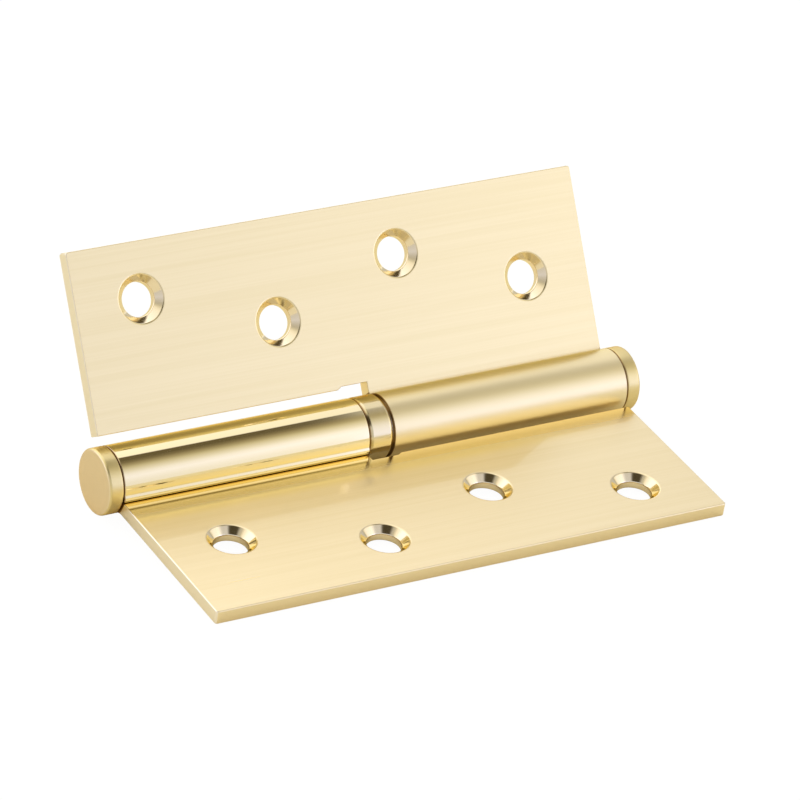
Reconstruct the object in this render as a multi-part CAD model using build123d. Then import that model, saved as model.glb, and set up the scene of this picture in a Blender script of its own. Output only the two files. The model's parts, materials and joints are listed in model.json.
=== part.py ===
from build123d import *
import math
import os

# Lift-off butt hinge, millimetres. Two like leaves of rolled sheet turn on a pin that is
# pressed into one of them; the other leaf lifts off along the pin.
# The frame has its origin in the middle of the fixed leaf's screw pattern, on the face that
# lies against the door frame. +X runs along the pin, +Y from the leaf to the pin, +Z up.

# Leaf stamping
leaf_length = 100.0
leaf_reach = 38.5          # pin axis to the leaf's free edge
sheet = 2.5                # thickness of the sheet
closed_gap = 2.5           # between the inner faces when the hinge is shut
opening_angle = 125.0      # between the inner faces as the hinge lies here
bend_radius = 4.0          # centre line of the joggle between leaf and knuckle
corner_radius = 0.5        # the leaf's two free corners
fixed_clearance = 0.9      # fixed leaf's cut-back edge to the other leaf's knuckle
lift_clearance = 1.55      # lift-off leaf's cut-back edge to the fixed leaf's knuckle
relief_depth = 0.5         # notch at the foot of the knuckle, past the cut-back edge
relief_slope = 1.35        # length over which the notch runs out
seam_gap = 0.15            # rolled edge to the leaf's inner face

# Screw holes
hole_count = 4
hole_radius = 3.0
countersink_depth = 1.25   # of the 90 degree sink
hole_end_distance = 12.5   # first and last hole to the leaf's ends
far_row_distance = 9.8     # outer row of holes to the free edge
row_spacing = 8.0          # outer row of holes to the inner row

# Pin
bore_radius = 3.25         # inside of the rolled knuckle
running_clearance = 0.05   # radial, on the pin's free half
pin_tip_chamfer = 1.0
pin_end_space = 1.0        # between the pin's ends and the caps

# End caps
cap_head = 2.75            # thickness of the head
cap_head_round = 0.5
cap_lip_round = 0.25
spigot_length = 6.0
spigot_chamfer = 0.4

# Thrust bearing between the knuckles
bearing_width = 5.0
shell_wall = 0.4
shell_lip_round = 0.35
lip_land = 0.05            # least flat left on the shell's end faces
shell_end_space = 0.1      # shell to the fixed knuckle
shell_top_space = 0.3      # shell to the knuckle that turns
ball_radius = 0.8
ball_spacing = 0.3         # least gap from ball to ball
ball_clearance = 0.03      # ball to groove
groove_depth = 0.33        # of the ball groove in each race

# Values that follow
knuckle_radius = bore_radius + sheet
knuckle_length = (leaf_length - bearing_width) / 2
face_offset = closed_gap / 2                # pin axis to a leaf's inner face
back_offset = face_offset + sheet           # pin axis to a leaf's back face
far_row = leaf_reach - far_row_distance
near_row = far_row - row_spacing
half_length = leaf_length / 2
half_bearing = bearing_width / 2
shell_bore = knuckle_radius - shell_wall
ball_circle = (bore_radius + shell_bore) / 2
ball_count = int(2 * math.pi * ball_circle / (2 * ball_radius + ball_spacing))
race_gap = 2 * (ball_radius + ball_clearance - groove_depth)
pin_axis = Pos(0, (far_row + near_row) / 2, back_offset)
raised = pin_axis * Rot(X=180 - opening_angle) * Rot(Z=180)


def knuckle_section():
    """Section of the sheet across the pin: flat leaf, joggle and roll, as (reach, height)."""
    middle_radius = bore_radius + sheet / 2
    bend_height = -(face_offset + sheet / 2 + bend_radius)
    bend_reach = math.sqrt((middle_radius + bend_radius) ** 2 - bend_height ** 2)
    bend_centre = (bend_reach, bend_height)
    leave_angle = math.degrees(math.atan2(bend_height, bend_reach))
    end_angle = -math.degrees(math.asin((face_offset - seam_gap) / knuckle_radius))
    roll = leave_angle - end_angle + 360
    bend = leave_angle + 180 - 90

    inner_bend = CenterArc(bend_centre, bend_radius + sheet / 2, 90, bend)
    bore = CenterArc((0, 0), bore_radius, leave_angle, -roll)
    outside = CenterArc((0, 0), knuckle_radius, end_angle, roll)
    outer_bend = CenterArc(bend_centre, bend_radius - sheet / 2, leave_angle + 180, -bend)
    face = Line((leaf_reach, -face_offset), inner_bend @ 0)
    rolled_edge = Line(bore @ 1, outside @ 0)
    back = Line(outer_bend @ 1, (leaf_reach, -back_offset))
    free_edge = Line(back @ 1, face @ 0)
    return make_face([face, inner_bend, bore, rolled_edge, outside, outer_bend, back, free_edge])


def leaf(clearance):
    """One leaf about the pin axis, lying towards -Y with its knuckle at the -X end."""
    across = Plane(origin=(-half_bearing, 0, 0), x_dir=(0, -1, 0), z_dir=(-1, 0, 0))
    rolled = extrude(across * knuckle_section(), knuckle_length)

    cut_back = knuckle_radius + clearance
    relief = cut_back + relief_depth
    outline = Polyline(
        (-half_bearing, -leaf_reach),
        (half_length, -leaf_reach),
        (half_length, -cut_back),
        (half_bearing + relief_slope, -cut_back),
        (half_bearing, -relief),
        (-half_bearing, -relief),
        close=True,
    )
    plate = extrude(Pos(0, 0, -back_offset) * make_face(outline), sheet)
    blank = (rolled + plate).clean()

    corners = blank.edges().filter_by(Axis.Z).group_by(Axis.Y)[0]
    blank = fillet(corners, corner_radius)

    hole_pitch = (leaf_length - 2 * hole_end_distance) / (hole_count - 1)
    for hole in range(hole_count):
        x = -half_length + hole_end_distance + hole * hole_pitch
        reach = far_row if hole % 2 else near_row
        blank -= Pos(x, -reach, -face_offset) * screw_hole()
    return blank


def screw_hole():
    """Cutter for one countersunk hole, its mouth on z = 0 and its axis along Z."""
    outline = Polyline(
        (0, 0),
        (hole_radius + countersink_depth, 0),
        (hole_radius, -countersink_depth),
        (hole_radius, -sheet),
        (0, -sheet),
        close=True,
    )
    return revolve(Plane.XZ * make_face(outline), Axis.Z)


def turned(*points):
    """Turned piece about the X axis from half a section, as (x, radius) points."""
    return revolve(make_face(Polyline(*points, close=True)), Axis.X)


def rims(piece, radius):
    """Circular edges of the given radius, in order along X."""
    circles = piece.edges().filter_by(GeomType.CIRCLE)
    return circles.filter_by(lambda rim: math.isclose(rim.radius, radius)).sort_by(Axis.X)


def end_cap():
    """Plug for the -X end: a rounded head against the knuckle and a spigot in its bore."""
    head_start = -half_length - cap_head
    spigot_end = -half_length + spigot_length
    cap = turned(
        (head_start, 0),
        (head_start, knuckle_radius),
        (-half_length, knuckle_radius),
        (-half_length, bore_radius),
        (spigot_end - spigot_chamfer, bore_radius),
        (spigot_end, bore_radius - spigot_chamfer),
        (spigot_end, 0),
    )
    cap = fillet(rims(cap, knuckle_radius)[0], cap_head_round)
    return fillet(rims(cap, knuckle_radius)[-1], cap_lip_round)


def hinge_pin():
    """Pin: full size in the fixed knuckle, eased where the other leaf runs on it."""
    pin_start = -half_length + spigot_length + pin_end_space
    pin_end = half_length - spigot_length - pin_end_space
    free_radius = bore_radius - running_clearance
    return turned(
        (pin_start, 0),
        (pin_start, bore_radius),
        (-half_bearing, bore_radius),
        (-half_bearing, free_radius),
        (pin_end - pin_tip_chamfer, free_radius),
        (pin_end, free_radius - pin_tip_chamfer),
        (pin_end, 0),
    )


def bearing_shell():
    """Outer ring with rounded lips, which grips the lower race."""
    start = -half_bearing + shell_end_space
    end = half_bearing - shell_top_space
    shell = turned((start, shell_bore), (start, knuckle_radius), (end, knuckle_radius), (end, shell_bore))
    return fillet(rims(shell, knuckle_radius), min(shell_lip_round, shell_wall - lip_land))


def race(outer_radius):
    """Washer on the -X side with a ball groove in its inner face."""
    inner = -race_gap / 2
    blank = turned(
        (-half_bearing, bore_radius),
        (-half_bearing, outer_radius),
        (inner, outer_radius),
        (inner, bore_radius),
    )
    groove = Rot(Y=90) * Torus(ball_circle, ball_radius + ball_clearance)
    return blank - groove


def bearing_balls():
    """Ring of balls between the races."""
    step = 360 / ball_count
    ball = Pos(0, ball_circle, 0) * Sphere(ball_radius)
    return Compound([Rot(X=number * step) * ball for number in range(ball_count)])


shapes = {
    "pin_leaf": pin_axis * leaf(fixed_clearance),
    "lift_off_leaf": raised * leaf(lift_clearance),
    "hinge_pin": pin_axis * hinge_pin(),
    "pin_end_cap": pin_axis * end_cap(),
    "socket_end_cap": raised * end_cap(),
    "bearing_shell": pin_axis * bearing_shell(),
    "bearing_lower_race": pin_axis * race(shell_bore),
    "bearing_upper_race": raised * race(shell_bore - running_clearance),
    "bearing_balls": pin_axis * bearing_balls(),
}

os.makedirs("parts", exist_ok=True)
for name, shape in shapes.items():
    export_step(shape, f"parts/{name}.step")
    box = shape.bounding_box()
    print(name, [round(v, 3) for v in (*box.min, *box.max)])
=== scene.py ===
# %% [markdown]
# # A lift-off hinge in brushed and polished gold
# Two like leaves of steel sheet are stamped, bent and rolled round one pin. The pin is pressed
# into the leaf that lies flat; the raised leaf can be lifted off along it. A bearing ring sits
# between the two knuckles and a turned cap closes each end.
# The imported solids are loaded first. They fix every size and every joint, so each piece below is
# modelled in metres in that same frame and needs no fitting afterwards.

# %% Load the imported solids
import json
import math

import bpy
from mathutils import Matrix, Vector


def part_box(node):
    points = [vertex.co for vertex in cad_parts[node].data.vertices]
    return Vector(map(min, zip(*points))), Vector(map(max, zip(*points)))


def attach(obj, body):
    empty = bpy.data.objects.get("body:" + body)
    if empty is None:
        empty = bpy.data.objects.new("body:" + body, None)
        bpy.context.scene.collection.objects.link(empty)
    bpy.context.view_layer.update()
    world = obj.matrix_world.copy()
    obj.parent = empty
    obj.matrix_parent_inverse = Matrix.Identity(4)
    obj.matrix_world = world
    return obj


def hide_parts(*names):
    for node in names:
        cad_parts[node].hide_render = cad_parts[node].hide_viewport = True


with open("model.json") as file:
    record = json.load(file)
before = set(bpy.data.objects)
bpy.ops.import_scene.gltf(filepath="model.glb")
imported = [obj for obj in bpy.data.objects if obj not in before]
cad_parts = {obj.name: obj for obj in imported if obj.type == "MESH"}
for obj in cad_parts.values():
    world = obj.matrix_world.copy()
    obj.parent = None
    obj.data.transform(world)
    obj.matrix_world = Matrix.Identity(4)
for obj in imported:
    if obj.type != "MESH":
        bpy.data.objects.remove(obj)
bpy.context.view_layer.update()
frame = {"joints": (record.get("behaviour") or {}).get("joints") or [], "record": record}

# %% [markdown]
# ## Sizes
# What the frame knows is read from it: the pin's axis, how far the hinge stands open, the ends of
# the leaves and the screw holes. The rest are the stamping's own sizes, such as the thickness of
# the sheet, which a box or a joint can't tell.

# %% Read the frame and name the stamping's sizes
mm = 0.001

swing = next(joint for joint in frame["joints"] if joint["name"] == "leaf_swing")
mounts = {mount["name"]: mount for mount in frame["record"]["mounts"]}
pin_axis = Vector(swing["pos_m"])
opening = math.radians(-swing["range_deg"][0])
leaf_low, leaf_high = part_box("pin_leaf")
half_length = leaf_high.x
leaf_reach = pin_axis.y - leaf_low.y
hole_radius = mounts["fixed_leaf_inner_screws"]["dims"]["hole_r_mm"] * mm

sheet = 2.5 * mm
closed_gap = 2.5 * mm
bore_radius = 3.25 * mm
bearing_width = 5 * mm
bend_radius = 4 * mm
seam_gap = 0.08 * mm

knuckle_radius = bore_radius + sheet
half_bearing = bearing_width / 2
face_offset = closed_gap / 2
back_offset = face_offset + sheet

lying = Matrix.Translation(pin_axis)
raised = lying @ Matrix.Rotation(math.pi - opening, 4, "X") @ Matrix.Rotation(math.pi, 4, "Z")
print("open", math.degrees(opening), "degrees; knuckle radius", knuckle_radius / mm, "mm")

# %% [markdown]
# ## Nodes as Python
# A node tree is easiest to read as an expression. `Value` wraps one output socket: adding or
# multiplying it puts a Math node in the tree and links it. `Graph` wraps a tree and makes any
# other node in one call: its type, its settings, then what goes into its sockets. The same two
# classes serve the materials, the studio and the Geometry Nodes.

# %% Value: arithmetic on sockets
class Value:
    """An output socket that adds Math nodes to its tree when it is used in arithmetic."""

    def __init__(self, graph, socket):
        self.graph = graph
        self.socket = socket

    def __add__(self, other):
        return self.graph.maths("ADD", self, other)

    def __sub__(self, other):
        return self.graph.maths("SUBTRACT", self, other)

    def __rsub__(self, other):
        return self.graph.maths("SUBTRACT", other, self)

    def __mul__(self, other):
        return self.graph.maths("MULTIPLY", self, other)

    def __truediv__(self, other):
        return self.graph.maths("DIVIDE", self, other)

    def __rtruediv__(self, other):
        return self.graph.maths("DIVIDE", other, self)

    def __pow__(self, other):
        return self.graph.maths("POWER", self, other)

    def __mod__(self, other):
        return self.graph.maths("FLOORED_MODULO", self, other)

    def __lt__(self, other):
        return self.graph.maths("LESS_THAN", self, other)

    def __gt__(self, other):
        return self.graph.maths("GREATER_THAN", self, other)

    def __abs__(self):
        return self.graph.maths("ABSOLUTE", self)

    __radd__ = __add__
    __rmul__ = __mul__


print("Value ready")


# %% Graph: nodes as calls
class Graph:
    """A node tree that is written as calls and expressions."""

    def __init__(self, tree):
        self.tree = tree

    def node(self, kind, settings=None, sockets=None, output=0):
        """One node. Settings come first, then values or links; the chosen output comes back."""
        made = self.tree.nodes.new(kind)
        for name, value in (settings or {}).items():
            if name == "stops":
                self.set_stops(made.color_ramp, value)
            else:
                setattr(made, name, value)
        for key, value in (sockets or {}).items():
            self.feed(self.find(made.inputs, key), value)
        return Value(self, self.find(made.outputs, output)) if made.outputs else made

    def find(self, sockets, key):
        """A socket by its place, its identifier or its name."""
        if isinstance(key, int):
            return sockets[key]
        return next((s for s in sockets if s.identifier == key), None) or sockets[key]

    def feed(self, socket, value):
        """Links a Value, or several into one socket, and sets anything else directly."""
        if isinstance(value, Value):
            self.tree.links.new(value.socket, socket)
        elif isinstance(value, list):
            for each in value:
                self.tree.links.new(each.socket, socket)
        else:
            socket.default_value = value

    def set_stops(self, ramp, stops):
        """Puts (position, colour) stops on a colour ramp; the first two are its ends."""
        for number, (position, shade) in enumerate(stops):
            stop = ramp.elements[number] if number < 2 else ramp.elements.new(position)
            stop.position = position
            stop.color = shade

    def maths(self, operation, *values):
        return self.node("ShaderNodeMath", {"operation": operation}, dict(enumerate(values)))

    def combine(self, x, y, z):
        return self.node("ShaderNodeCombineXYZ", sockets={"X": x, "Y": y, "Z": z})

    def split(self, vector):
        """The vector's x, y and z."""
        return [self.node("ShaderNodeSeparateXYZ", sockets={"Vector": vector}, output=axis) for axis in "XYZ"]

    def ramp(self, value, start, end, low=0.0, high=1.0):
        """Goes smoothly from low to high as the value goes from start to end."""
        return self.node(
            "ShaderNodeMapRange",
            {"interpolation_type": "SMOOTHSTEP"},
            {"Value": value, "From Min": start, "From Max": end, "To Min": low, "To Max": high},
        )

    def blend(self, share, first, second):
        """Mixes two colours."""
        return self.node(
            "ShaderNodeMix",
            {"data_type": "RGBA"},
            {"Factor_Float": share, "A_Color": first, "B_Color": second},
            output="Result_Color",
        )


print("Graph ready")

# %% [markdown]
# ## Finishes
# The steel is plated a pale gold. What differs from piece to piece is how the metal was worked
# before plating: the flats are brushed lengthwise, the fixed knuckle is polished, the other
# knuckle is only satined, and the caps and ring are turned. All share one metal shader whose
# colour, roughness and bump follow noise that is stretched the way the tool ran. Object
# coordinates are used, so the grain has a real size and stays in place on every piece. Where two
# pieces meet, a thin line is brown: partly grease that gathers where no polish reaches, partly
# painted shade of the narrow gap.

# %% Shared parts of the metal finishes
def colour(red, green, blue):
    return (red, green, blue, 1.0)


def new_finish(name):
    """An empty material and its graph."""
    material = bpy.data.materials.new(name)
    material.use_nodes = True
    material.node_tree.nodes.clear()
    return material, Graph(material.node_tree)


def metal(graph, base, edge, roughness, height, depth):
    """Principled metal: edge is its colour at a slant, depth the bump's height in metres."""
    normal = graph.node("ShaderNodeBump", sockets={"Strength": 1.0, "Distance": depth, "Height": height})
    return graph.node(
        "ShaderNodeBsdfPrincipled",
        sockets={
            "Base Color": base, "Roughness": roughness, "Metallic": 1.0,
            "Specular Tint": edge, "Normal": normal,
        },
    )


def finish_with(graph, surface):
    graph.node("ShaderNodeOutputMaterial", sockets={"Surface": surface})


def grain(graph, place, size, detail=2.0):
    """Noise whose grains have the given size along each axis, from 0 to 1."""
    scaled = graph.node("ShaderNodeVectorMath", {"operation": "DIVIDE"}, {0: place, 1: size})
    return graph.node("ShaderNodeTexNoise", sockets={"Vector": scaled, "Scale": 1.0, "Detail": detail})


def object_place(graph):
    return graph.node("ShaderNodeTexCoord", output="Object")


def from_pin(graph, place):
    """Distance from the pin's axis."""
    x, y, z = graph.split(place)
    return ((y - pin_axis.y) ** 2 + (z - pin_axis.z) ** 2) ** 0.5


def near_joint(graph, place, joint, start, end):
    """1 near a joint, which lies this far along the pin from its middle on both sides, fading to 0."""
    along = abs(graph.split(place)[0])
    return graph.ramp(abs(along - joint), start, end, 1, 0)


cap_joint = half_length
ring_joint = half_bearing
# Brown of the joints: partly grease, partly painted shade of the narrow gaps between pieces.
grease_and_shade_brown = colour(0.34, 0.20, 0.07)
print("metal helpers ready")

# %% [markdown]
# ### The leaves
# Brushing leaves hair-fine grooves along the leaf and broader streaks where the belt bit harder.
# On both leaves part of the metal between the grooves stays bright, so a flat shows a faint sharp
# reflection on top of the soft one: two metals of different roughness, mixed. The fixed leaf's
# knuckle is polished, and its polish runs out onto the flat beside it. There the flat's colour
# holds painted light: a deeper gold that is a painted reflection of the polished knuckle, a paler
# strip of painted reflection beside that knuckle, and a darker strip of painted shade beside the
# lift-off knuckle. The lift-off leaf is satin all over. Sheared edges are rougher, and the leaves'
# end faces are painted paler for the cool light that they reflect. The countersinks are cut
# bright, with rings from the cutter. The attributes `sheared` and `countersunk` come from the
# trees that make the leaf; the rest is told by the distance from the pin and the place along it.

# %% Golds of the leaves
polished = colour(0.95, 0.795, 0.42)
slant_gold = colour(1.0, 0.95, 0.66)
# Painted reflection: a paler strip on the fixed leaf's flat, right beside its polished knuckle.
painted_bright_strip_gold = colour(1.0, 0.85, 0.46)
# Painted shade: a darker strip on the fixed leaf's flat beside the lift-off leaf's knuckle.
shaded_gold = colour(0.87, 0.68, 0.28)
# Painted reflection: a deeper gold on the fixed leaf's flat near its polished knuckle.
painted_knuckle_reflection_gold = colour(0.96, 0.77, 0.31)
sheared_gold = colour(0.96, 0.80, 0.45)
# Painted reflection: the leaves' end faces are painted paler for the cool light that they reflect.
painted_pale_end_gold = colour(0.98, 0.89, 0.68)
cutter_gold = colour(0.93, 0.79, 0.49)


def leaf_colour(graph, place, reach, knuckle, brushed_gold, knuckle_reflection_share, sheared, countersunk):
    """Colour of a leaf, laid on from the brushed flat to the joints. Reach is measured from the pin."""
    along = graph.split(place)[0]
    on_roll = reach < knuckle_radius + 0.35 * mm
    rim = on_roll * graph.ramp(reach, knuckle_radius - 0.7 * mm, knuckle_radius - 0.35 * mm)
    ends = near_joint(graph, place, half_length, 0.2 * mm, 0.3 * mm)
    at_cap = near_joint(graph, place, cap_joint, 0.05 * mm, 0.2 * mm)
    at_ring = near_joint(graph, place, ring_joint, 0.05 * mm, 0.2 * mm)
    # Deeper gold near the fixed knuckle, fading along the pin: a painted reflection of the knuckle.
    beside = graph.ramp(reach, 7.5 * mm, 9 * mm) * graph.ramp(reach, 10.5 * mm, 13 * mm, knuckle_reflection_share, 0)
    beside = beside * graph.ramp(along, 15 * mm, 45 * mm, 1, 0)
    # Strips beside the knuckles: painted reflection by the fixed knuckle, painted shade by the lift-off one.
    painted_strips_by_roll = graph.blend(graph.ramp(along, -3 * mm, 3 * mm), painted_bright_strip_gold, shaded_gold)

    base = graph.blend(beside, brushed_gold, painted_knuckle_reflection_gold)
    base = graph.blend(knuckle, base, graph.blend(on_roll, painted_strips_by_roll, polished))
    # End faces take the painted pale gold, which stands for the light that they reflect.
    base = graph.blend(sheared, base, graph.blend(ends, sheared_gold, painted_pale_end_gold))
    base = graph.blend(countersunk, base, cutter_gold)
    # The knuckle's rim next to the caps and the ring is brown: partly grease, partly painted shade of the
    # gap.
    return graph.blend(rim * graph.maths("MAXIMUM", at_cap, at_ring), base, grease_and_shade_brown)


print("leaf colours ready")

# %% Leaf finish
sheared_roughness = 0.26
cut_roughness = 0.09
bright_roughness = 0.05
brush_depth = 0.001 * mm
bright_depth = 0.0001 * mm


def leaf_finish(
    name, light, deep, flat_roughness, knuckle_roughness, knuckle_grain,
    polish, knuckle_reflection_share, bright_share, across,
):
    """Finish of one leaf. The knuckle's polish runs out between two distances from the pin's axis,
    and across is the unit normal of the leaf's inner face."""
    material, graph = new_finish(name)
    place = object_place(graph)
    hairs = grain(graph, place, (36 * mm, 0.28 * mm, 0.28 * mm))
    streaks = grain(graph, place, (90 * mm, 1.3 * mm, 1.3 * mm), 3.0)
    clouds = grain(graph, place, (30 * mm, 12 * mm, 12 * mm))
    marks = grain(graph, place, (0.12 * mm, 0.12 * mm, 0.12 * mm))
    depth = graph.node("ShaderNodeVectorMath", {"operation": "DOT_PRODUCT"}, {0: place, 1: across}, "Value")
    rings = grain(graph, graph.combine(depth, 0.0, 0.0), (0.07 * mm, 1.0, 1.0))
    sheared = graph.node("ShaderNodeAttribute", {"attribute_name": "sheared"}, output="Fac")
    countersunk = graph.node("ShaderNodeAttribute", {"attribute_name": "countersunk"}, output="Fac")
    reach = from_pin(graph, place)
    knuckle = graph.ramp(reach, *polish, 1, 0)

    brushed_gold = graph.blend(graph.ramp(0.4 * hairs + 0.6 * streaks, 0.3, 0.7), deep, light)
    base = leaf_colour(graph, place, reach, knuckle, brushed_gold, knuckle_reflection_share, sheared, countersunk)

    wear = 0.85 + 0.15 * streaks + 0.15 * clouds
    roughness = wear * (flat_roughness + knuckle * (knuckle_roughness - flat_roughness))
    roughness = roughness + sheared * (sheared_roughness + 0.12 * marks - roughness)
    roughness = roughness + countersunk * (cut_roughness + 0.06 * rings - roughness)

    brushed = (1 - knuckle) * hairs + knuckle * knuckle_grain * hairs
    height = (1 - countersunk) * (brushed * (1 - sheared) + sheared * marks) + countersunk * 0.3 * rings
    surface = metal(graph, base, slant_gold, roughness, height, brush_depth)
    between_grooves = metal(graph, base, slant_gold, bright_roughness, height, bright_depth)
    share = bright_share * (1 - knuckle) * (1 - sheared) * (1 - countersunk)
    finish_with(graph, graph.node("ShaderNodeMixShader", sockets={0: share, 1: surface, 2: between_grooves}))
    return material


facing = raised.to_3x3() @ Vector((0, 0, 1))
fixed_gold = leaf_finish(
    "fixed_leaf_gold",
    light=colour(0.95, 0.785, 0.43),
    deep=colour(0.91, 0.745, 0.39),
    flat_roughness=0.29,
    knuckle_roughness=0.05,
    knuckle_grain=0.02,
    polish=(knuckle_radius + 0.2 * mm, 10.3 * mm),
    knuckle_reflection_share=0.8,
    bright_share=0.18,
    across=(0, 0, 1),
)
lift_gold = leaf_finish(
    "lift_leaf_gold",
    light=colour(0.88, 0.725, 0.355),
    deep=colour(0.84, 0.685, 0.32),
    flat_roughness=0.30,
    knuckle_roughness=0.38,
    knuckle_grain=0.5,
    polish=(knuckle_radius + 0.1 * mm, knuckle_radius + 0.5 * mm),
    knuckle_reflection_share=0.0,
    bright_share=0.1,
    across=tuple(facing),
)
print("made", fixed_gold.name, "and", lift_gold.name)

# %% [markdown]
# ### Turned pieces
# On a lathe the tool runs round the piece, so its grooves are circles about the pin's axis. The
# noise is read from two numbers only, the place along the pin and the distance from it, so it
# is the same all the way round. The caps' sides are a deeper gold than their faces.

# %% Turned finishes
def turned_finish(name, light, deep, roughness, depth, side=None, joint=None):
    """Finish of a turned piece. Side is its colour on the outside, where it differs, and joint the
    place and the width of the line where it meets another piece."""
    material, graph = new_finish(name)
    place = object_place(graph)
    reach = from_pin(graph, place)
    turning = graph.combine(graph.split(place)[0], reach, 0.0)
    grooves = grain(graph, turning, (0.06 * mm, 0.06 * mm, 1.0))
    bands = grain(graph, turning, (0.5 * mm, 0.5 * mm, 1.0))
    spots = grain(graph, place, (1.6 * mm, 1.6 * mm, 1.6 * mm), 4.0)
    base = graph.blend(0.6 * bands + 0.4 * spots, deep, light)
    if side:
        outside = graph.ramp(reach, knuckle_radius - 0.3 * mm, knuckle_radius - 0.1 * mm)
        base = graph.blend(outside, base, side)
    # A thin brown line where the piece meets another: partly grease, partly painted shade of the gap.
    if joint:
        base = graph.blend(near_joint(graph, place, *joint), base, grease_and_shade_brown)
    roughness = roughness * (0.8 + 0.25 * bands + 0.25 * spots)
    finish_with(graph, metal(graph, base, light, roughness, grooves + 0.3 * spots, depth))
    return material


cap_gold = turned_finish(
    "turned_cap_gold", colour(0.91, 0.76, 0.48), colour(0.83, 0.685, 0.42), 0.33, 0.0015 * mm,
    side=colour(0.83, 0.67, 0.285), joint=(cap_joint, 0.12 * mm, 0.32 * mm),
)
ring_gold = turned_finish(
    "turned_ring_gold", colour(0.82, 0.68, 0.36), colour(0.77, 0.635, 0.32), 0.16, 0.0008 * mm,
    joint=(ring_joint, 0.25 * mm, 0.42 * mm),
)
pin_steel = turned_finish(
    "ground_pin_steel", colour(0.63, 0.61, 0.51), colour(0.51, 0.495, 0.425), 0.22, 0.003 * mm,
)
race_steel = turned_finish(
    "race_steel", colour(0.69, 0.67, 0.58), colour(0.59, 0.575, 0.51), 0.12, 0.001 * mm,
)
print("turned finishes:", cap_gold.name, ring_gold.name, pin_steel.name, race_steel.name)

# %% [markdown]
# ## Geometry Nodes helpers
# Each tree takes a simple mesh, such as an outline, and a few named sizes. The result is turned
# into a plain mesh at once, so nothing downstream depends on the modifier.

# %% Tree helper
class ShapeGraph(Graph):
    """A Geometry Nodes tree with a geometry input, named sizes and a finish."""

    kinds = {float: "NodeSocketFloat", int: "NodeSocketInt", bpy.types.Object: "NodeSocketObject"}

    def __init__(self, name, **sizes):
        super().__init__(bpy.data.node_groups.new(name, "GeometryNodeTree"))
        face = self.tree.interface
        face.new_socket("Geometry", in_out="INPUT", socket_type="NodeSocketGeometry")
        for size, kind in sizes.items():
            face.new_socket(size, in_out="INPUT", socket_type=self.kinds[kind])
        face.new_socket("finish", in_out="INPUT", socket_type="NodeSocketMaterial")
        face.new_socket("Geometry", in_out="OUTPUT", socket_type="NodeSocketGeometry")
        self.entry = self.tree.nodes.new("NodeGroupInput")

    def given(self, name):
        return Value(self, self.entry.outputs[name])

    def mark(self, shape, name, value):
        """Stores a value on the faces, for the finish to read."""
        return self.node(
            "GeometryNodeStoreNamedAttribute",
            {"data_type": "FLOAT", "domain": "FACE"},
            {"Geometry": shape, "Name": name, "Value": value},
        )

    def done(self, shape):
        """Smooth, realized and in its finish: the end of every tree."""
        shape = self.node("GeometryNodeSetShadeSmooth", sockets={"Geometry": shape, "Shade Smooth": True})
        shape = self.node("GeometryNodeRealizeInstances", sockets={"Geometry": shape})
        shape = self.node(
            "GeometryNodeSetMaterial",
            sockets={"Geometry": shape, "Material": self.given("finish")},
        )
        self.node("NodeGroupOutput", sockets={"Geometry": shape})


print("shape trees ready")


# %% Bake helpers
scene = bpy.context.scene
flat_angle = math.radians(0.3)
sharp_angle = math.radians(40)


def shape_with(piece, graph, sizes):
    """Adds a tree to a piece with its named sizes."""
    shaper = piece.modifiers.new("shape", "NODES")
    shaper.node_group = graph.tree
    for socket in graph.tree.interface.items_tree:
        if socket.in_out == "INPUT" and socket.name in sizes:
            shaper[socket.identifier] = sizes[socket.name]


def round_edges(piece, radius):
    """Clears the lines that lie within flat faces, then breaks every sharp edge."""
    flats = piece.modifiers.new("flats", "DECIMATE")
    flats.decimate_type = "DISSOLVE"
    flats.angle_limit = flat_angle
    edge = piece.modifiers.new("edges", "BEVEL")
    edge.width = radius
    edge.segments = 3
    edge.limit_method = "ANGLE"
    edge.angle_limit = sharp_angle
    edge.use_clamp_overlap = False


def bake(name, mesh, finish, *steps):
    """Runs (tree, sizes, rounding) steps on a mesh and returns the result as a plain mesh object."""
    piece = bpy.data.objects.new(name, mesh)
    scene.collection.objects.link(piece)
    for graph, sizes, rounding in steps:
        shape_with(piece, graph, dict(sizes, finish=finish))
        if rounding:
            round_edges(piece, rounding)
    piece.modifiers.new("even shading", "WEIGHTED_NORMAL")
    made = bpy.data.meshes.new_from_object(piece.evaluated_get(bpy.context.evaluated_depsgraph_get()))
    made.name = name
    made.materials.clear()
    made.materials.append(finish)
    made.polygons.foreach_set("material_index", [0] * len(made.polygons))
    piece.modifiers.clear()
    piece.data = made
    print(name, "has", len(made.polygons), "faces")
    return piece


def outline_mesh(name, points, closed):
    """Points in a row, as one face if closed and as edges if not."""
    mesh = bpy.data.meshes.new(name)
    count = len(points)
    edges = [] if closed else [(i, i + 1) for i in range(count - 1)]
    mesh.from_pydata(points, edges, [list(range(count))] if closed else [])
    return mesh


print("bake helpers ready")

# %% [markdown]
# ## The lathe
# Caps, ring, pin and races are turned pieces: half a section, swung round the pin. A spin in
# edit mode would do it, but a tree keeps the section and the rounding as named values. It rounds
# each corner of the section by the radius stored on that point, lays a grid over the section and
# a full turn, and wraps the grid round the X axis.

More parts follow.
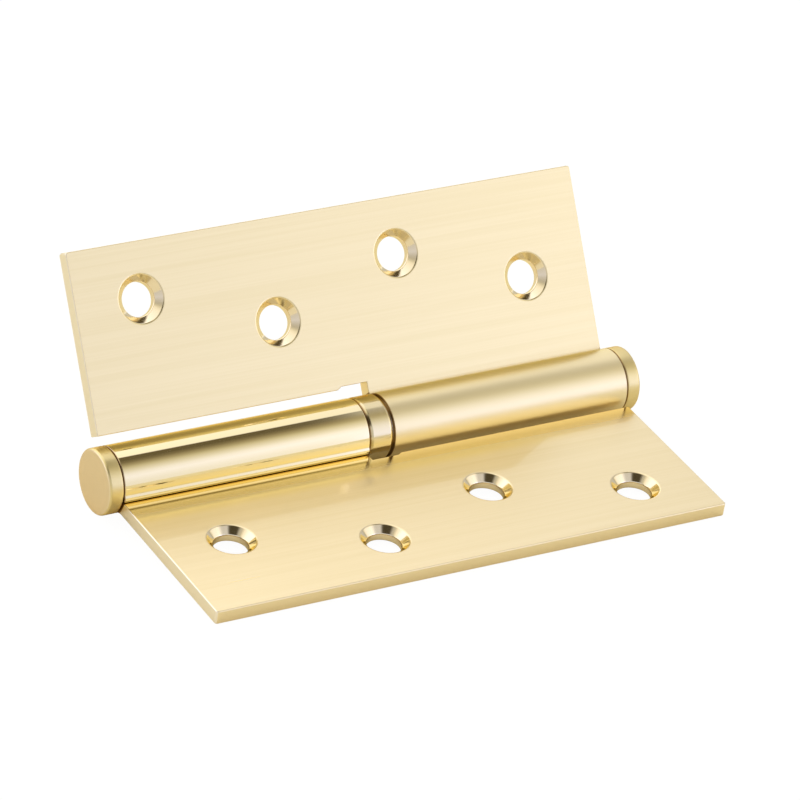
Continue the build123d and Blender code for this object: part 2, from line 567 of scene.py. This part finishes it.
# %% Lathe tree
def lathe_tree():
    graph = ShapeGraph("lathe", steps=int)
    section = graph.node("GeometryNodeMeshToCurve", sockets={"Mesh": graph.given("Geometry")})
    rounding = graph.node("GeometryNodeInputNamedAttribute", {"data_type": "FLOAT"}, {"Name": "rounding"})
    section = graph.node(
        "GeometryNodeFilletCurve",
        {"mode": "POLY"},
        {"Curve": section, "Count": 6, "Radius": rounding, "Limit Radius": True},
    )
    count = graph.node(
        "GeometryNodeAttributeDomainSize",
        {"component": "CURVE"},
        {"Geometry": section},
        "Point Count",
    )
    sheet_grid = graph.node(
        "GeometryNodeMeshGrid",
        sockets={"Size X": 1.0, "Size Y": 1.0, "Vertices X": count, "Vertices Y": graph.given("steps") + 1},
    )
    across, around = graph.split(graph.node("GeometryNodeInputPosition"))[:2]
    index = graph.maths("ROUND", (across + 0.5) * (count - 1))
    place = graph.node(
        "GeometryNodeSampleIndex",
        {"data_type": "FLOAT_VECTOR", "domain": "POINT"},
        {"Geometry": section, "Value": graph.node("GeometryNodeInputPosition"), "Index": index},
    )
    along, radius = graph.split(place)[:2]
    turn = (around + 0.5) * (2 * math.pi)
    wrapped = graph.combine(along, radius * graph.maths("COSINE", turn), radius * graph.maths("SINE", turn))
    shape = graph.node("GeometryNodeSetPosition", sockets={"Geometry": sheet_grid, "Position": wrapped})
    shape = graph.node("GeometryNodeMergeByDistance", sockets={"Geometry": shape, "Distance": 0.002 * mm})
    shape = graph.node("GeometryNodeFlipFaces", sockets={"Mesh": shape})
    graph.done(shape)
    return graph


lathe = lathe_tree()


def turned(name, section, finish=None, steps=96):
    """A turned piece about the X axis from (x, radius, rounding) points."""
    mesh = outline_mesh(name, [(x, radius, 0) for x, radius, rounding in section], False)
    mesh.attributes.new("rounding", "FLOAT", "POINT").data.foreach_set("value", [p[2] for p in section])
    return bake(name, mesh, finish, (lathe, {"steps": steps}, 0))


print("lathe tree ready")

# %% [markdown]
# ## The leaf
# A leaf is one stamping. The flat blank is given as an outline; the tree gives it the sheet's
# thickness. The knuckle is the same sheet following a bend line: a short joggle away from the
# face and then a little over a full turn round the pin, so it is swept as a strip along that
# line, the way the press rolls it. On the fixed leaf the last bit of the roll stands out as a
# low bead. A boolean joins the two, and the tree marks which faces are sheared.

# %% Leaf tree
bend_steps = 14
roll_steps = 140
strip_overlap = 0.8 * mm


def leaf_tree():
    graph = ShapeGraph(
        "rolled leaf",
        thickness=float, roll_radius=float, bend_radius=float, bend_reach=float, bend_height=float,
        leave_angle=float, roll=float, strip_start=float, strip_flat=float, strip_length=float,
        strip_middle=float, roll_edge=float, roll_end=float, bead=float, bead_angle=float,
    )
    given = graph.given
    blank = given("Geometry")
    risen = graph.node(
        "GeometryNodeExtrudeMesh",
        {"mode": "FACES"},
        {"Mesh": blank, "Offset Scale": given("thickness")},
    )
    under = graph.node("GeometryNodeFlipFaces", sockets={"Mesh": blank})
    plate = graph.node("GeometryNodeJoinGeometry", sockets={"Geometry": [risen, under]})
    plate = graph.node("GeometryNodeMergeByDistance", sockets={"Geometry": plate, "Distance": 0.001 * mm})

    index = graph.node("GeometryNodeInputIndex")
    bent = graph.maths("MAXIMUM", graph.maths("MINIMUM", (index - 2) / bend_steps, 1.0), 0.0)
    rolled = graph.maths("MAXIMUM", (index - 2 - bend_steps) / roll_steps, 0.0)
    bend_angle = math.pi / 2 + bent * (given("leave_angle") + math.pi / 2)
    roll_angle = given("leave_angle") - rolled * given("roll")
    on_roll = index > bend_steps + 1.5
    on_flat = index < 1.5
    bend_reach = given("bend_reach") + given("bend_radius") * graph.maths("COSINE", bend_angle)
    bend_height = given("bend_height") + given("bend_radius") * graph.maths("SINE", bend_angle)
    reach = bend_reach + on_roll * (given("roll_radius") * graph.maths("COSINE", roll_angle) - bend_reach)
    reach = reach + on_flat * (given("strip_start") - index * given("strip_flat") - reach)
    height = bend_height + on_roll * (given("roll_radius") * graph.maths("SINE", roll_angle) - bend_height)
    line = graph.node("GeometryNodeMeshLine", sockets={"Count": 3 + bend_steps + roll_steps})
    line = graph.node(
        "GeometryNodeSetPosition",
        sockets={"Geometry": line, "Position": graph.combine(given("strip_middle"), 0 - reach, height)},
    )
    line = graph.node("GeometryNodeMeshToCurve", sockets={"Mesh": line})
    band = graph.node(
        "GeometryNodeCurvePrimitiveQuadrilateral",
        sockets={"Width": given("strip_length"), "Height": given("thickness")},
    )
    strip = graph.node(
        "GeometryNodeCurveToMesh",
        sockets={"Curve": line, "Profile Curve": band, "Fill Caps": True},
    )

    x, y, z = graph.split(graph.node("GeometryNodeInputPosition"))
    from_axis = (y * y + z * z) ** 0.5
    outside = abs(from_axis - given("roll_radius") - given("thickness") / 2) < 0.02 * mm
    along = (graph.maths("ARCTAN2", z, 0 - y) - given("roll_end")) / given("bead_angle")
    on_bead = outside * (along > 0) * (along < 1)
    push = on_bead * 4 * given("bead") * along * (1 - along) / from_axis
    strip = graph.node(
        "GeometryNodeSetPosition",
        sockets={"Geometry": strip, "Offset": graph.combine(0.0, y * push, z * push)},
    )
    body = graph.node(
        "GeometryNodeMeshBoolean",
        {"operation": "UNION", "solver": "EXACT"},
        {"Mesh 2": [plate, strip]},
    )
    body = graph.node("GeometryNodeMergeByDistance", sockets={"Geometry": body, "Distance": 0.001 * mm})

    normal_x, normal_y, normal_z = graph.split(graph.node("GeometryNodeInputNormal"))
    beyond_roll = from_axis > given("roll_edge")
    sheared = graph.maths("MAXIMUM", (abs(normal_z) < 0.9) * beyond_roll, abs(normal_x) > 0.9)
    graph.done(graph.mark(body, "sheared", sheared))
    return graph


rolled_leaf = leaf_tree()
print("leaf tree has", len(rolled_leaf.tree.nodes), "nodes")

# %% [markdown]
# ### Screw holes
# The four countersunk holes are drilled after the blank's edges are broken. They are one cutter
# set out along two staggered rows, and a boolean takes all of them out at once. Their own edges
# are broken next, and only then does a last small tree mark their walls for the finish: marked
# earlier, the mark would spread over the faces that are merged on the way.

# %% Screw hole tree
def hole_tree():
    graph = ShapeGraph(
        "screw holes",
        holes=int, first_hole=float, hole_pitch=float, near_row=float, far_row=float, face_height=float,
        cutter=bpy.types.Object,
    )
    given = graph.given
    start = graph.combine(given("first_hole"), 0.0, given("face_height"))
    step = graph.combine(given("hole_pitch"), 0.0, 0.0)
    row = graph.node(
        "GeometryNodeMeshLine",
        sockets={"Count": given("holes"), "Start Location": start, "Offset": step},
    )
    odd = graph.node("GeometryNodeInputIndex") % 2
    stagger = given("near_row") + odd * (given("far_row") - given("near_row"))
    row = graph.node(
        "GeometryNodeSetPosition",
        sockets={"Geometry": row, "Offset": graph.combine(0.0, 0 - stagger, 0.0)},
    )
    cutter = graph.node("GeometryNodeObjectInfo", sockets={"Object": given("cutter")}, output="Geometry")
    cutters = graph.node(
        "GeometryNodeInstanceOnPoints",
        sockets={"Points": row, "Instance": cutter, "Rotation": (0, -math.pi / 2, 0)},
    )
    cutters = graph.node("GeometryNodeRealizeInstances", sockets={"Geometry": cutters})
    body = graph.node(
        "GeometryNodeMeshBoolean",
        {"operation": "DIFFERENCE", "solver": "EXACT"},
        {"Mesh 1": given("Geometry"), "Mesh 2": cutters},
    )
    graph.done(body)
    return graph


screw_holes = hole_tree()
print("screw hole tree has", len(screw_holes.tree.nodes), "nodes")


# %% Hole mark tree
def hole_mark_tree():
    """Marks the walls of the holes: faces that aren't flat, in an area a little larger than the rows."""
    graph = ShapeGraph("hole marks", first_hole=float, near_row=float, far_row=float)
    given = graph.given
    x, y = graph.split(graph.node("GeometryNodeInputPosition"))[:2]
    normal_z = graph.split(graph.node("GeometryNodeInputNormal"))[2]
    in_rows = (0 - y > given("near_row") * 0.7) * (0 - y < given("far_row") * 1.2)
    in_line = abs(x) < 0 - given("first_hole") * 1.2
    wall = (abs(normal_z) < 0.9) * in_rows * in_line
    graph.done(graph.mark(given("Geometry"), "countersunk", wall))
    return graph


hole_marks = hole_mark_tree()
print("hole mark tree has", len(hole_marks.tree.nodes), "nodes")

# %% [markdown]
# The blank's outline has a notch at the foot of the knuckle, where the press frees the strip
# that is rolled, and two slightly rounded free corners. The bend line's numbers follow from the
# sheet, the gap between shut leaves and the bore.

# %% Leaf sizes
fixed_clearance = 0.9 * mm
lift_clearance = 1.55 * mm
relief_depth = 0.5 * mm
relief_slope = 0.8 * mm
corner_radius = 0.5 * mm
corner_steps = 6
countersink_depth = 1.25 * mm
fixed_edge_round = 0.22 * mm
lift_edge_round = 0.14 * mm
bead_height = 0.3 * mm
bead_angle = math.radians(14.5)
hole_edge_round = 0.2 * mm

inner_screws = Vector(mounts["fixed_leaf_inner_screws"]["pos_m"])
outer_screws = Vector(mounts["fixed_leaf_outer_screws"]["pos_m"])
hole_pitch = outer_screws.x - inner_screws.x
hole_count = 4

middle_radius = bore_radius + sheet / 2
bend_height = -(face_offset + sheet / 2 + bend_radius)
bend_reach = math.sqrt((middle_radius + bend_radius) ** 2 - bend_height ** 2)
leave_angle = math.atan2(bend_height, bend_reach)
end_angle = -math.asin((face_offset - seam_gap) / knuckle_radius)


def rounded_corner(x, y, side):
    """Points of a free corner's arc, from the edge at x round to the edge at y."""
    turns = [math.pi / 2 * step / corner_steps for step in range(corner_steps + 1)]
    turns = turns if side < 0 else turns[::-1]
    middle_x = x - side * corner_radius
    middle_y = y + corner_radius
    offsets = [(side * corner_radius * math.cos(turn), -corner_radius * math.sin(turn)) for turn in turns]
    return [(middle_x + right, middle_y + up, -back_offset) for right, up in offsets]


def blank_outline(cut_back):
    """Corners of the flat blank, from the rolled strip round to the notch beside it."""
    relief = cut_back + relief_depth
    return [
        (-half_length, -relief, -back_offset),
        *rounded_corner(-half_length, -leaf_reach, -1),
        *rounded_corner(half_length, -leaf_reach, 1),
        (half_length, -cut_back, -back_offset),
        (half_bearing + relief_slope, -cut_back, -back_offset),
        (half_bearing, -relief, -back_offset),
    ]


print("knuckle rolled through", math.degrees(leave_angle - end_angle) + 360, "degrees")

# %% Make the two leaves
def countersink_cutter():
    """Turned cutter for one screw hole, its mouth at x = 0 and its tip below the sheet."""
    above = 0.5 * mm
    below = sheet + 1 * mm
    section = [
        (-below, 0, 0),
        (-below, hole_radius, 0),
        (-countersink_depth, hole_radius, 0),
        (above, hole_radius + countersink_depth + above, 0),
        (above, 0, 0),
    ]
    return turned("countersink_cutter", section, steps=64)


def leaf(name, clearance, edge_round, bead, cutter, finish):
    cut_back = knuckle_radius + clearance
    strip_start = cut_back + relief_depth + strip_overlap
    mesh = outline_mesh(name, blank_outline(cut_back), True)
    sheet_sizes = dict(
        thickness=sheet, roll_radius=middle_radius, bend_radius=bend_radius,
        bend_reach=bend_reach, bend_height=bend_height, leave_angle=leave_angle,
        roll=leave_angle - end_angle + 2 * math.pi, strip_start=strip_start, strip_flat=2 * strip_overlap,
        strip_length=half_length - half_bearing, strip_middle=-(half_length + half_bearing) / 2,
        roll_edge=knuckle_radius + 0.3 * mm, roll_end=end_angle, bead=bead, bead_angle=bead_angle,
    )
    hole_sizes = dict(
        holes=hole_count, first_hole=-1.5 * hole_pitch, hole_pitch=hole_pitch,
        near_row=pin_axis.y - inner_screws.y, far_row=pin_axis.y - outer_screws.y,
        face_height=-face_offset, cutter=cutter,
    )
    rolled = (rolled_leaf, sheet_sizes, edge_round)
    drilled = (screw_holes, hole_sizes, hole_edge_round)
    marked = (hole_marks, hole_sizes, 0)
    return bake(name, mesh, finish, rolled, drilled, marked)


def finish_piece(piece, matrix, body, node):
    """Puts a piece in its place, parents it to its body and hides the CAD node that it stands for."""
    piece.data.transform(matrix)
    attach(piece, body)
    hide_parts(node)


cutter = countersink_cutter()
fixed_leaf = leaf("fixed_leaf_sheet", fixed_clearance, fixed_edge_round, bead_height, cutter, fixed_gold)
lift_leaf = leaf("lift_leaf_sheet", lift_clearance, lift_edge_round, 0.0, cutter, lift_gold)
bpy.data.objects.remove(cutter)
finish_piece(fixed_leaf, lying, "fixed_leaf", "pin_leaf")
finish_piece(lift_leaf, raised, "lift_leaf", "lift_off_leaf")

# %% [markdown]
# ## Caps, ring, pin and races
# The caps have a rounded head that stands against the knuckle and a spigot in its bore. The ring
# between the knuckles is the shell of a small ball bearing. Its lips are rounded, which gives the
# bright lines with dark grooves on both sides.

# %% Sizes of the turned pieces
cap_head = 2.75 * mm
cap_head_round = 0.5 * mm
cap_lip_round = 0.4 * mm
spigot_length = 6 * mm
spigot_chamfer = 0.4 * mm
running_clearance = 0.05 * mm
pin_end_space = 1 * mm
pin_tip_chamfer = 1 * mm
pin_tip_round = 0.3 * mm
shell_wall = 0.4 * mm
shell_end_space = 0.1 * mm
shell_top_space = 0.3 * mm
lip_width = 0.55 * mm
lip_drop = 0.25 * mm
lip_round = 0.5 * mm
lip_edge_round = 0.15 * mm
hidden_round = 0.05 * mm
ball_radius = 0.8 * mm
ball_clearance = 0.03 * mm
groove_depth = 0.33 * mm
groove_steps = 10

shell_bore = knuckle_radius - shell_wall
ball_circle = (bore_radius + shell_bore) / 2
print("balls run on a circle of radius", ball_circle / mm, "mm")

# %% Half sections, as (x, radius, rounding)
head_start = -half_length - cap_head
spigot_end = -half_length + spigot_length
cap_section = [
    (head_start, 0, 0),
    (head_start, knuckle_radius, cap_head_round),
    (-half_length, knuckle_radius, cap_lip_round),
    (-half_length, bore_radius, 0),
    (spigot_end - spigot_chamfer, bore_radius, hidden_round),
    (spigot_end, bore_radius - spigot_chamfer, hidden_round),
    (spigot_end, 0, 0),
]
shell_start = -half_bearing + shell_end_space
shell_end = half_bearing - shell_top_space
shell_section = [
    (0, shell_bore, 0),
    (shell_start, shell_bore, hidden_round),
    (shell_start, knuckle_radius - lip_drop, lip_edge_round),
    (shell_start + lip_width, knuckle_radius, lip_round),
    (shell_end - lip_width, knuckle_radius, lip_round),
    (shell_end, knuckle_radius - lip_drop, lip_edge_round),
    (shell_end, shell_bore, hidden_round),
    (0, shell_bore, 0),
]
pin_start = spigot_end + pin_end_space
free_radius = bore_radius - running_clearance
pin_section = [
    (pin_start, 0, 0),
    (pin_start, bore_radius, hidden_round),
    (-half_bearing, bore_radius, hidden_round),
    (-half_bearing, free_radius, 0),
    (-pin_start - pin_tip_chamfer, free_radius, pin_tip_round),
    (-pin_start, free_radius - pin_tip_chamfer, pin_tip_round),
    (-pin_start, 0, 0),
]


def race_section(outer_radius):
    """A washer with a ball groove in the face towards x = 0."""
    groove_radius = ball_radius + ball_clearance
    inner = groove_depth - groove_radius
    mouth = math.acos(-inner / groove_radius)
    turns = [mouth - 2 * mouth * step / groove_steps for step in range(groove_steps + 1)]
    groove = [
        (-groove_radius * math.cos(turn), ball_circle + groove_radius * math.sin(turn), 0)
        for turn in turns
    ]
    return [
        (inner, bore_radius, 0),
        (-half_bearing, bore_radius, hidden_round),
        (-half_bearing, outer_radius, hidden_round),
        (inner, outer_radius, hidden_round),
        *groove,
        (inner, bore_radius, 0),
    ]


print("cap section has", len(cap_section), "corners and ring section", len(shell_section))

# %% Make the turned pieces
pin_cap = turned("pin_cap_turned", cap_section, cap_gold)
socket_cap = turned("socket_cap_turned", cap_section, cap_gold)
shell = turned("bearing_ring", shell_section, ring_gold)
pin = turned("pin_ground", pin_section, pin_steel)
lower_race = turned("lower_race_ground", race_section(shell_bore), race_steel)
upper_race = turned("upper_race_ground", race_section(shell_bore - running_clearance), race_steel)
finish_piece(pin_cap, lying, "fixed_leaf", "pin_end_cap")
finish_piece(socket_cap, raised, "lift_leaf", "socket_end_cap")
finish_piece(shell, lying, "fixed_leaf", "bearing_shell")
finish_piece(pin, lying, "fixed_leaf", "hinge_pin")
finish_piece(lower_race, lying, "fixed_leaf", "bearing_lower_race")
finish_piece(upper_race, raised, "upper_race", "bearing_upper_race")

# %% [markdown]
# ## Balls
# Fourteen steel balls run in the grooves of the two races. They are one sphere set out on a
# circle round the pin; the number of balls and both radii are the tree's inputs.

# %% Make the ring of balls
def ball_tree():
    graph = ShapeGraph("ball ring", balls=int, ball_radius=float, circle=float)
    line = graph.node("GeometryNodeMeshLine", sockets={"Count": graph.given("balls")})
    turn = graph.node("GeometryNodeInputIndex") * (2 * math.pi / graph.given("balls"))
    across = graph.given("circle") * graph.maths("COSINE", turn)
    above = graph.given("circle") * graph.maths("SINE", turn)
    places = graph.node(
        "GeometryNodeSetPosition",
        sockets={"Geometry": line, "Position": graph.combine(0.0, across, above)},
    )
    ball = graph.node(
        "GeometryNodeMeshUVSphere",
        sockets={"Segments": 24, "Rings": 16, "Radius": graph.given("ball_radius")},
    )
    graph.done(graph.node("GeometryNodeInstanceOnPoints", sockets={"Points": places, "Instance": ball}))
    return graph


ball_sizes = dict(balls=14, ball_radius=ball_radius, circle=ball_circle)
balls = bake("steel_balls", outline_mesh("steel_balls", [], False), race_steel, (ball_tree(), ball_sizes, 0))
finish_piece(balls, lying, "ball_ring", "bearing_balls")

# %% [markdown]
# ## The studio
# The hinge lies on a pale floor under soft light. It touches that floor with the barrel and with
# the flat leaf's front edge, so the floor is tilted a little in the hinge's frame. Polished metal
# shows the studio: a bright front, a dark gap overhead with a sharp edge at the back, a bright back
# wall and a small dark place above the camera, which the countersinks show. Bright places are a
# little cool and dim ones warm, and the light changes slightly from left to right. The world makes
# these by direction. To the camera, floor and world are white.

# %% Floor
barrel_bottom = pin_axis.z - knuckle_radius
floor_slope = math.atan2(-barrel_bottom, leaf_reach)


def make_floor():
    size = 4.0
    tilt = Matrix.Translation((0, leaf_low.y, 0)) @ Matrix.Rotation(-floor_slope, 4, "X")
    signs = ((-1, -1), (1, -1), (1, 1), (-1, 1))
    corners = [tilt @ Vector((x * size, y * size, 0)) for x, y in signs]
    floor = bpy.data.objects.new("floor", outline_mesh("floor", corners, True))
    scene.collection.objects.link(floor)
    material, graph = new_finish("pale_floor")
    by_camera = graph.node("ShaderNodeLightPath", output="Is Camera Ray")
    by_gloss = graph.node("ShaderNodeLightPath", output="Is Glossy Ray")
    paper = graph.node("ShaderNodeBsdfDiffuse", sockets={"Color": colour(0.96, 0.89, 0.66)})
    white = graph.node("ShaderNodeEmission", sockets={"Color": colour(1, 1, 1), "Strength": 1.04})
    share = 0.93 * by_camera + 0.09 * by_gloss
    finish_with(graph, graph.node("ShaderNodeMixShader", sockets={0: share, 1: paper, 2: white}))
    floor.data.materials.append(material)


make_floor()
print("floor tilted by", math.degrees(floor_slope), "degrees")


# %% [markdown]
# The world's light is given as rows of levels along a turn from the front (0) over the top (0.5)
# to the back (1). How far a ray points to the right tells which row holds: `overhead` has the dark
# gap, `beside_gap` to the right of it is only dim there, and `plain_ends` light the rest. Two ends
# come first in each row and the steps between them after.

# %% World
overhead = [
    (0, 1.06), (1, 0.98), (0.07, 1.10), (0.18, 1.21), (0.237, 1.14), (0.29, 0.97), (0.35, 0.75),
    (0.40, 0.49), (0.46, 0.25), (0.51, 0.125), (0.572, 0.11), (0.588, 0.95), (0.72, 0.98),
]
beside_gap = [
    (0, 1.34), (1, 1.02), (0.07, 1.38), (0.18, 1.19), (0.237, 1.10), (0.29, 0.96), (0.35, 0.80),
    (0.40, 0.65), (0.43, 0.61), (0.465, 0.73), (0.515, 0.93), (0.57, 1.02), (0.72, 1.04),
]
plain_ends = [(0, 0.95), (1, 1.0), (0.25, 1.05), (0.5, 0.7), (0.7, 1.0)]
dark_place = Vector((-0.31, -0.44, 0.85)).normalized()
dark_place_level = 0.10
dark_place_edge = math.radians(24)
dark_place_core = math.radians(12)


def studio(level):
    """Colour of a light of this level: cool where it is bright and warm where it is dim."""
    green = level * (0.82 + 0.20 * level)
    blue = level * (0.54 + 0.30 * level + 0.40 * level ** 3)
    return colour(level, green, blue)


def light_row(graph, lift, levels):
    """One row of levels as a colour ramp along the turn."""
    stops = [(position, studio(level)) for position, level in levels]
    return graph.node("ShaderNodeValToRGB", {"stops": stops}, {"Fac": lift})


def make_world():
    world = bpy.data.worlds.new("studio")
    world.use_nodes = True
    world.node_tree.nodes.clear()
    graph = Graph(world.node_tree)
    ray = graph.node("ShaderNodeTexCoord", output="Generated")
    x, y, z = graph.split(ray)
    lift = graph.maths("ARCTAN2", z, 0 - y) / math.pi
    rows = [light_row(graph, lift, levels) for levels in (overhead, beside_gap, plain_ends)]
    middle = graph.blend(graph.ramp(x, 0.478, 0.494), rows[0], rows[1])
    in_middle = graph.ramp(x, 0.05, 0.3) * graph.ramp(x, 0.7, 0.95, 1, 0)
    dome = graph.blend(in_middle, rows[2], middle)
    towards_dark = graph.node(
        "ShaderNodeVectorMath",
        {"operation": "DOT_PRODUCT"},
        {0: ray, 1: dark_place},
        "Value",
    )
    in_dark = graph.ramp(towards_dark, math.cos(dark_place_edge), math.cos(dark_place_core))
    dome = graph.blend(in_dark, dome, studio(dark_place_level))
    front = graph.ramp(lift, 0.45, 0.55, 1, 0)
    right = graph.ramp(x, 0.35, 0.65) - 0.5
    level = 1 + right * (1.35 * front - 0.75)
    seen = graph.node("ShaderNodeLightPath", output="Is Camera Ray")
    light = graph.blend(seen, dome, colour(1, 1, 1))
    strength = seen + (1 - seen) * level
    surface = graph.node("ShaderNodeBackground", sockets={"Color": light, "Strength": strength})
    graph.node("ShaderNodeOutputWorld", sockets={"Surface": surface})
    scene.world = world


make_world()
scene.view_settings.view_transform = "Standard"
print("the world has", len(scene.world.node_tree.nodes), "nodes")


# %% Camera
def make_camera():
    """The photograph's view: a long lens, turned left and up, slightly rolled."""
    elevation = math.radians(32.045)
    azimuth = math.radians(-35.308)
    roll = math.radians(9.542)
    distance = 936.119 * mm
    aim = Vector((5.892 * mm, 4.906 * mm))
    back = Vector((
        math.sin(azimuth) * math.cos(elevation),
        -math.cos(azimuth) * math.cos(elevation),
        math.sin(elevation),
    ))
    level = Vector((math.cos(azimuth), math.sin(azimuth), 0))
    upright = back.cross(level)
    right = math.cos(roll) * level + math.sin(roll) * upright
    up = math.cos(roll) * upright - math.sin(roll) * level
    lens = bpy.data.cameras.new("camera")
    lens.lens = 245.7
    lens.sensor_width = 36
    lens.clip_start = 0.05
    lens.clip_end = 50
    camera = bpy.data.objects.new("camera", lens)
    turn = Matrix((right, up, back)).transposed().to_4x4()
    stand = pin_axis + aim.x * right + aim.y * up + distance * back
    camera.matrix_world = Matrix.Translation(stand) @ turn
    scene.collection.objects.link(camera)
    scene.camera = camera


make_camera()
print("the camera stands at", scene.camera.matrix_world.translation)
